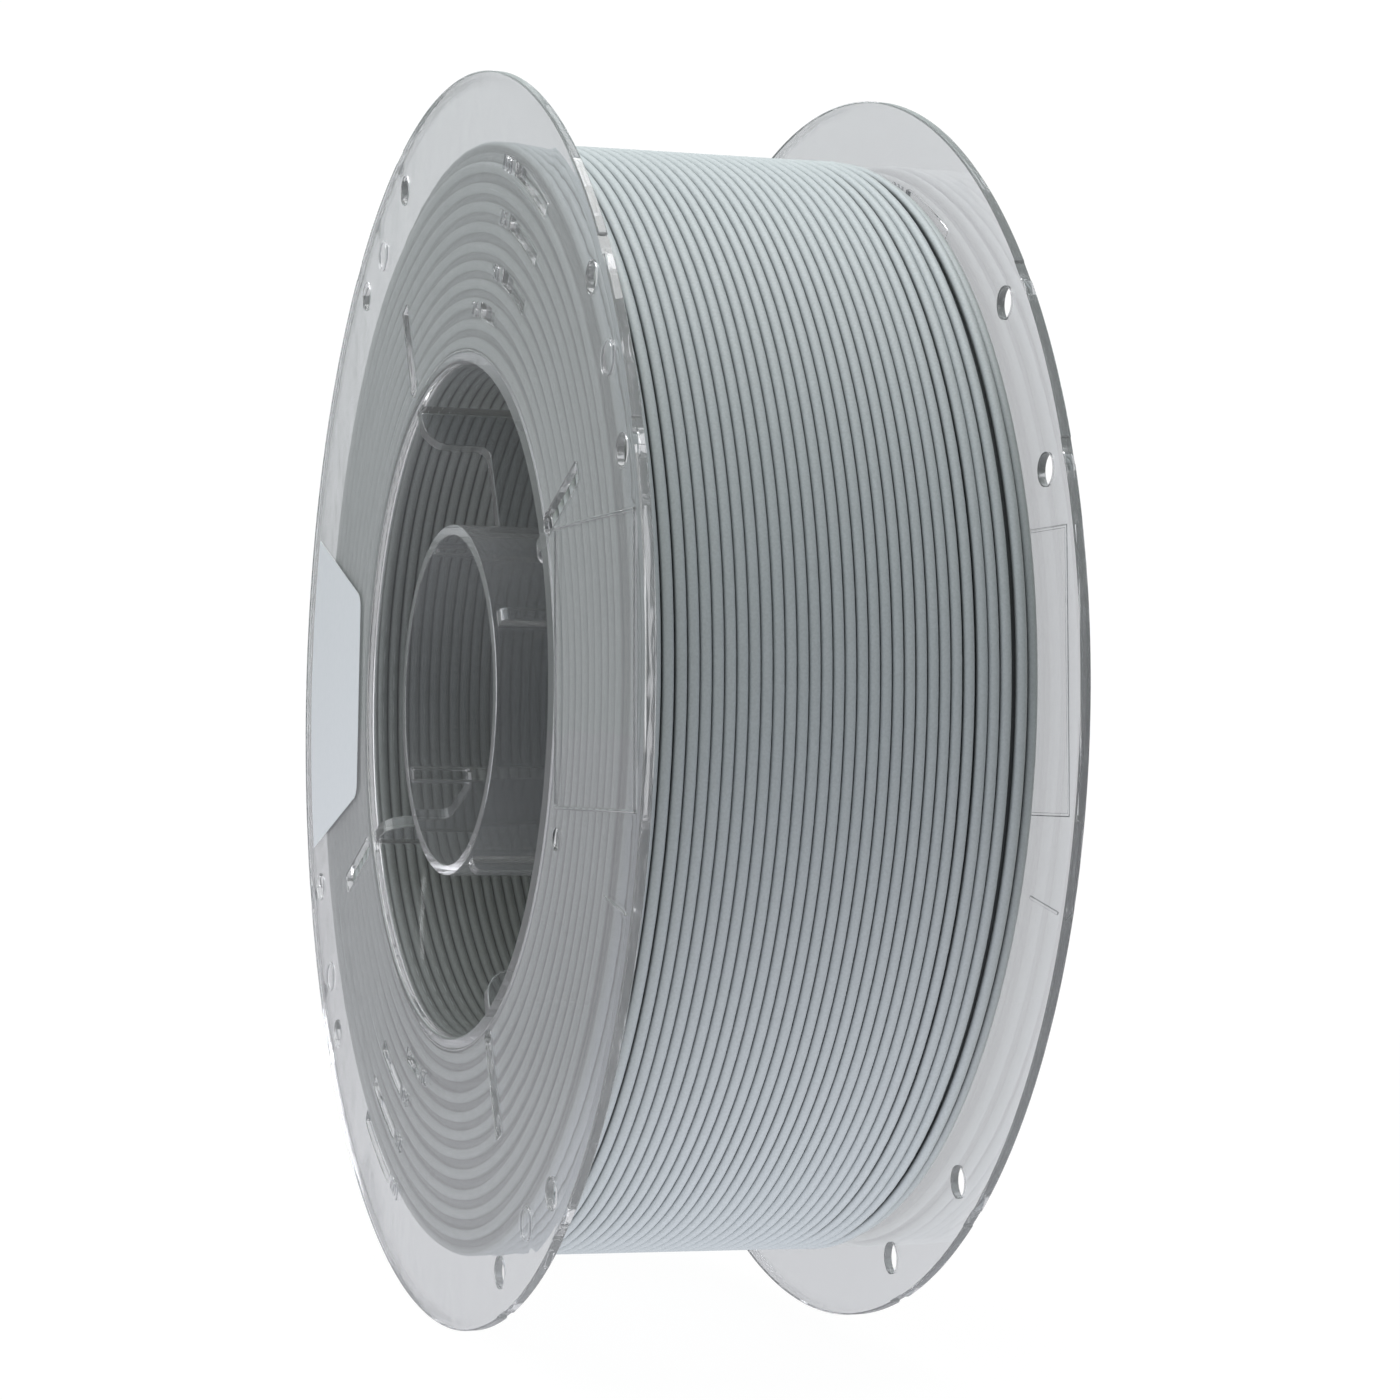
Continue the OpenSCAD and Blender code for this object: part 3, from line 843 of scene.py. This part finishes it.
def buildFloor():
    # a light table: it glows under the spool, and looks white with a faint shadow
    s, reach, low = studio, studio["floorReach"], -studio["floorDepth"]
    corners = [(-reach, -reach, low), (reach, -reach, low), (reach, reach, low), (-reach, reach, low)]
    obj = newObject("floor", corners, [(0, 1, 2, 3)])
    material, tree = newMaterial("lightTable")
    place = addNode(tree, "ShaderNodeTexCoord")
    away = addNode(tree, "ShaderNodeVectorMath", {0: place.outputs["Object"]}, operation="LENGTH")
    glow = addNode(tree, "ShaderNodeMapRange", {
        "Value": away.outputs["Value"], "From Min": s["glowFade"][0], "From Max": s["glowFade"][1],
        "To Min": s["tableGlow"], "To Max": s["glowAround"]}, interpolation_type="SMOOTHSTEP")
    mirrored = addNode(tree, "ShaderNodeMapRange", {
        "Value": away.outputs["Value"], "From Min": s["mirrorFade"][0], "From Max": s["mirrorFade"][1],
        "To Min": s["mirroredNear"], "To Max": s["mirrored"]}, interpolation_type="SMOOTHSTEP")
    fade = addNode(tree, "ShaderNodeMapRange", {
        "Value": away.outputs["Value"], "From Min": s["shadowFade"][0], "From Max": s["shadowFade"][1],
        "To Min": s["floorShadow"], "To Max": 0.0}, interpolation_type="SMOOTHSTEP")
    emission = addNode(tree, "ShaderNodeEmission", studioLight(tree, glow, mirrored, s["tableColour"]))
    diffuse = addNode(tree, "ShaderNodeBsdfDiffuse", {"Color": linear(s["floor"])})
    mixed = addNode(tree, "ShaderNodeMixShader", {
        0: fade.outputs[0], 1: emission.outputs[0], 2: diffuse.outputs[0]})
    addNode(tree, "ShaderNodeOutputMaterial", {"Surface": mixed.outputs[0]})
    obj.data.materials.append(material)


def buildRoom():
    # lights softly from above, and is plain white where it is looked at
    world = bpy.data.worlds.new("studio")
    scene.world = world
    world.use_nodes = True
    tree = world.node_tree
    tree.nodes.clear()
    place = addNode(tree, "ShaderNodeTexCoord")
    xyz = addNode(tree, "ShaderNodeSeparateXYZ", {0: place.outputs["Generated"]})
    level = addNode(tree, "ShaderNodeMapRange", {
        "Value": xyz.outputs[2], "From Min": 0.0, "From Max": 1.0,
        "To Min": studio["horizon"], "To Max": studio["zenith"]})
    mirrored = addNode(tree, "ShaderNodeMapRange", {
        "Value": xyz.outputs[2], "From Min": 0.02, "From Max": 0.5,
        "To Min": studio["mirrored"], "To Max": 1.0})
    light = addNode(tree, "ShaderNodeBackground", studioLight(tree, level, mirrored, studio["roomColour"]))
    addNode(tree, "ShaderNodeOutputWorld", {"Surface": light.outputs[0]})


def areaLamp(name, place, size, watts):
    lamp = bpy.data.lights.new(name, "AREA")
    lamp.shape, lamp.size, lamp.energy = "DISK", size, watts
    obj = placed(name, lamp)
    obj.location = place
    obj.rotation_euler = (-Vector(place)).to_track_quat("-Z", "Y").to_euler()


buildFloor()
buildRoom()
areaLamp("overhead", *studio["overhead"])
areaLamp("side", *studio["side"])
# enough bounces for light to get through all the walls of both halves
scene.cycles.max_bounces = 28
scene.cycles.glossy_bounces = 24
scene.cycles.transmission_bounces = 20
scene.cycles.transparent_max_bounces = 20
scene.view_settings.view_transform = "Standard"

# The camera's place in metres, and the ways that its right, its top and its lens point
viewpoint = {
    "lens": 90.42, "sensor": 36.0, "place": (0.5468, -0.1832, 0.0037),
    "right": (0.33314, 0.94263, 0.0217), "up": (-0.01193, -0.01879, 0.99975),
    "forward": (-0.9428, 0.33332, -0.00499),
}
camera = placed("camera", bpy.data.cameras.new("camera"))
camera.data.lens, camera.data.sensor_width = viewpoint["lens"], viewpoint["sensor"]
camera.data.sensor_fit = "HORIZONTAL"
camera.data.clip_start, camera.data.clip_end = 0.05, 50.0
right, up, forward = (Vector(viewpoint[way]).normalized() for way in ("right", "up", "forward"))
facing = Matrix((right, up, -forward)).transposed()
camera.matrix_world = Matrix.Translation(viewpoint["place"]) @ facing.to_4x4()
scene.camera = camera
print("studio and camera placed")
